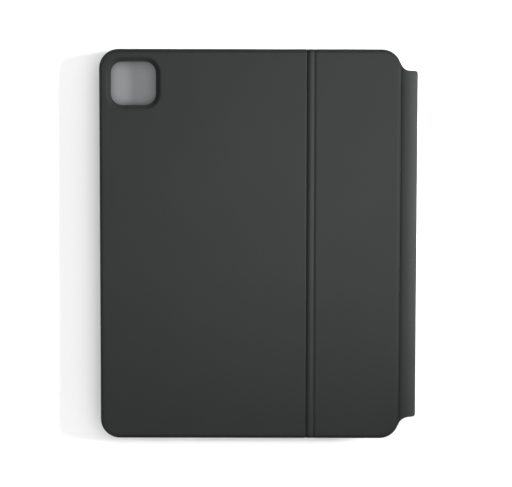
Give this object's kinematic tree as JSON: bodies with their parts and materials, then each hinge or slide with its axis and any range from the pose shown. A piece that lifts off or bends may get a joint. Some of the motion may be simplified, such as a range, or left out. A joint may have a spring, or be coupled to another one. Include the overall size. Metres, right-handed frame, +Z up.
{
  "type": "tablet keyboard case",
  "caption": "Folding case for a tablet: a lid with a tablet tray and a fold-out stand, joined by a soft spine to a keyboard deck with a trackpad.",
  "frame": {"origin": "bottom centre of the closed case, on the surface it lies on", "axes": "+Y towards the spine, +X to the right of someone typing, +Z up through the back cover"},
  "size_m": [0.254, 0.206, 0.02],
  "materials": {
    "cover_skin": "matte soft-touch grain",
    "stiffener": "matte board",
    "soft_frame": "satin soft plastic",
    "hard_shell": "fine matte",
    "lining": "microfibre",
    "foot_rubber": "matte",
    "deck_plate": "satin metallic paint",
    "trackpad": "smooth satin",
    "keycaps": "fine matte",
    "steel": "brushed",
    "magnet": "plated",
    "circuit": "solder mask",
    "cell": "foil",
    "light": "clear light pipe"
  },
  "bodies": {
    "deck": {"bottom_shell": "hard_shell", "deck_skin": "cover_skin", "spine_flange_lower": "cover_skin", "feet": "foot_rubber", "top_plate": "deck_plate", "key_membrane": "foot_rubber", "key_circuit_board": "circuit", "battery_cells": "cell", "main_board": "circuit", "charging_port": "steel", "status_lights": "light", "trackpad_board": "circuit", "deck_magnets": "magnet", "screws": "steel"},
    "spine": {"spine_skin": "cover_skin", "spine_board": "stiffener"},
    "lid": {"back_skin": "cover_skin", "back_board": "stiffener", "camera_bezel": "soft_frame", "tray_shell": "hard_shell", "tray_lining": "lining", "bumper_frame": "soft_frame", "rear_rail": "hard_shell", "rail_magnets": "magnet", "cover_magnets": "magnet", "spine_flange_upper": "cover_skin", "hinge_knuckles_fixed": "steel", "hinge_pin": "steel"},
    "stand": {"stand_skin": "cover_skin", "stand_board": "stiffener", "stand_lining": "lining", "stand_keeper_plates": "steel", "hinge_knuckles_moving": "steel"},
    "volume_up": {"volume_up_button": "soft_frame"},
    "volume_down": {"volume_down_button": "soft_frame"},
    "trackpad": {"trackpad": "trackpad"},
    "switch": {"power_switch": "hard_shell"},
    "function_keys": {"function_keys": "keycaps"},
    "number_keys": {"number_keys": "keycaps"},
    "top_letter_keys": {"top_letter_keys": "keycaps"},
    "home_letter_keys": {"home_letter_keys": "keycaps"},
    "bottom_letter_keys": {"bottom_letter_keys": "keycaps"},
    "delete_key": {"delete_key": "keycaps"},
    "tab_key": {"tab_key": "keycaps"},
    "caps_lock_key": {"caps_lock_key": "keycaps"},
    "return_key": {"return_key": "keycaps"},
    "left_shift_key": {"left_shift_key": "keycaps"},
    "right_shift_key": {"right_shift_key": "keycaps"},
    "fn_key": {"fn_key": "keycaps"},
    "control_key": {"control_key": "keycaps"},
    "left_option_key": {"left_option_key": "keycaps"},
    "left_command_key": {"left_command_key": "keycaps"},
    "space_key": {"space_key": "keycaps"},
    "right_command_key": {"right_command_key": "keycaps"},
    "right_option_key": {"right_option_key": "keycaps"},
    "left_arrow_key": {"left_arrow_key": "keycaps"},
    "up_arrow_key": {"up_arrow_key": "keycaps"},
    "down_arrow_key": {"down_arrow_key": "keycaps"},
    "right_arrow_key": {"right_arrow_key": "keycaps"}
  },
  "joints": [
    {"name": "cover_fold_lower", "type": "hinge", "parent": "deck", "child": "spine", "pos_m": [0, 0.1022, 0.004], "axis": [-1, 0, 0], "range_deg": [0, 90]},
    {"name": "cover_fold_upper", "type": "hinge", "parent": "spine", "child": "lid", "pos_m": [0, 0.1022, 0.012], "axis": [-1, 0, 0], "range_deg": [0, 90]},
    {"name": "stand_fold", "type": "hinge", "parent": "lid", "child": "stand", "pos_m": [0, 0.0339, 0.0183], "axis": [1, 0, 0], "range_deg": [0, 120]},
    {"name": "trackpad_click", "type": "hinge", "parent": "deck", "child": "trackpad", "pos_m": [0, -0.0214, 0.0063], "axis": [1, 0, 0], "range_deg": [0, 0.55], "stiffness_Nm_per_rad": 3.4, "springref_deg": -0.57},
    {"name": "power_slide", "type": "slide", "parent": "deck", "child": "switch", "axis": [0, 1, 0], "range_m": [0, 0.003]},
    {"name": "volume_up_press", "type": "slide", "parent": "lid", "child": "volume_up", "axis": [0, 1, 0], "range_m": [0, 0.0004], "stiffness_N_per_m": 1500, "springref_m": -0.0005},
    {"name": "volume_down_press", "type": "slide", "parent": "lid", "child": "volume_down", "axis": [0, 1, 0], "range_m": [0, 0.0004], "stiffness_N_per_m": 1500, "springref_m": -0.0005},
    {"name": "travel_function_keys", "type": "slide", "parent": "deck", "child": "function_keys", "axis": [0, 0, -1], "range_m": [0, 0.0012], "stiffness_N_per_m": 2500, "springref_m": -0.0006},
    {"name": "travel_number_keys", "type": "slide", "parent": "deck", "child": "number_keys", "axis": [0, 0, -1], "range_m": [0, 0.0012], "stiffness_N_per_m": 2500, "springref_m": -0.0006},
    {"name": "travel_top_letter_keys", "type": "slide", "parent": "deck", "child": "top_letter_keys", "axis": [0, 0, -1], "range_m": [0, 0.0012], "stiffness_N_per_m": 2500, "springref_m": -0.0006},
    {"name": "travel_home_letter_keys", "type": "slide", "parent": "deck", "child": "home_letter_keys", "axis": [0, 0, -1], "range_m": [0, 0.0012], "stiffness_N_per_m": 2500, "springref_m": -0.0006},
    {"name": "travel_bottom_letter_keys", "type": "slide", "parent": "deck", "child": "bottom_letter_keys", "axis": [0, 0, -1], "range_m": [0, 0.0012], "stiffness_N_per_m": 2500, "springref_m": -0.0006},
    {"name": "travel_delete_key", "type": "slide", "parent": "deck", "child": "delete_key", "axis": [0, 0, -1], "range_m": [0, 0.0012], "stiffness_N_per_m": 500, "springref_m": -0.0006},
    {"name": "travel_tab_key", "type": "slide", "parent": "deck", "child": "tab_key", "axis": [0, 0, -1], "range_m": [0, 0.0012], "stiffness_N_per_m": 500, "springref_m": -0.0006},
    {"name": "travel_caps_lock_key", "type": "slide", "parent": "deck", "child": "caps_lock_key", "axis": [0, 0, -1], "range_m": [0, 0.0012], "stiffness_N_per_m": 500, "springref_m": -0.0006},
    {"name": "travel_return_key", "type": "slide", "parent": "deck", "child": "return_key", "axis": [0, 0, -1], "range_m": [0, 0.0012], "stiffness_N_per_m": 500, "springref_m": -0.0006},
    {"name": "travel_left_shift_key", "type": "slide", "parent": "deck", "child": "left_shift_key", "axis": [0, 0, -1], "range_m": [0, 0.0012], "stiffness_N_per_m": 500, "springref_m": -0.0006},
    {"name": "travel_right_shift_key", "type": "slide", "parent": "deck", "child": "right_shift_key", "axis": [0, 0, -1], "range_m": [0, 0.0012], "stiffness_N_per_m": 500, "springref_m": -0.0006},
    {"name": "travel_fn_key", "type": "slide", "parent": "deck", "child": "fn_key", "axis": [0, 0, -1], "range_m": [0, 0.0012], "stiffness_N_per_m": 500, "springref_m": -0.0006},
    {"name": "travel_control_key", "type": "slide", "parent": "deck", "child": "control_key", "axis": [0, 0, -1], "range_m": [0, 0.0012], "stiffness_N_per_m": 500, "springref_m": -0.0006},
    {"name": "travel_left_option_key", "type": "slide", "parent": "deck", "child": "left_option_key", "axis": [0, 0, -1], "range_m": [0, 0.0012], "stiffness_N_per_m": 500, "springref_m": -0.0006},
    {"name": "travel_left_command_key", "type": "slide", "parent": "deck", "child": "left_command_key", "axis": [0, 0, -1], "range_m": [0, 0.0012], "stiffness_N_per_m": 500, "springref_m": -0.0006},
    {"name": "travel_space_key", "type": "slide", "parent": "deck", "child": "space_key", "axis": [0, 0, -1], "range_m": [0, 0.0012], "stiffness_N_per_m": 500, "springref_m": -0.0006},
    {"name": "travel_right_command_key", "type": "slide", "parent": "deck", "child": "right_command_key", "axis": [0, 0, -1], "range_m": [0, 0.0012], "stiffness_N_per_m": 500, "springref_m": -0.0006},
    {"name": "travel_right_option_key", "type": "slide", "parent": "deck", "child": "right_option_key", "axis": [0, 0, -1], "range_m": [0, 0.0012], "stiffness_N_per_m": 500, "springref_m": -0.0006},
    {"name": "travel_left_arrow_key", "type": "slide", "parent": "deck", "child": "left_arrow_key", "axis": [0, 0, -1], "range_m": [0, 0.0012], "stiffness_N_per_m": 500, "springref_m": -0.0006},
    {"name": "travel_up_arrow_key", "type": "slide", "parent": "deck", "child": "up_arrow_key", "axis": [0, 0, -1], "range_m": [0, 0.0012], "stiffness_N_per_m": 500, "springref_m": -0.0006},
    {"name": "travel_down_arrow_key", "type": "slide", "parent": "deck", "child": "down_arrow_key", "axis": [0, 0, -1], "range_m": [0, 0.0012], "stiffness_N_per_m": 500, "springref_m": -0.0006},
    {"name": "travel_right_arrow_key", "type": "slide", "parent": "deck", "child": "right_arrow_key", "axis": [0, 0, -1], "range_m": [0, 0.0012], "stiffness_N_per_m": 500, "springref_m": -0.0006}
  ]
}
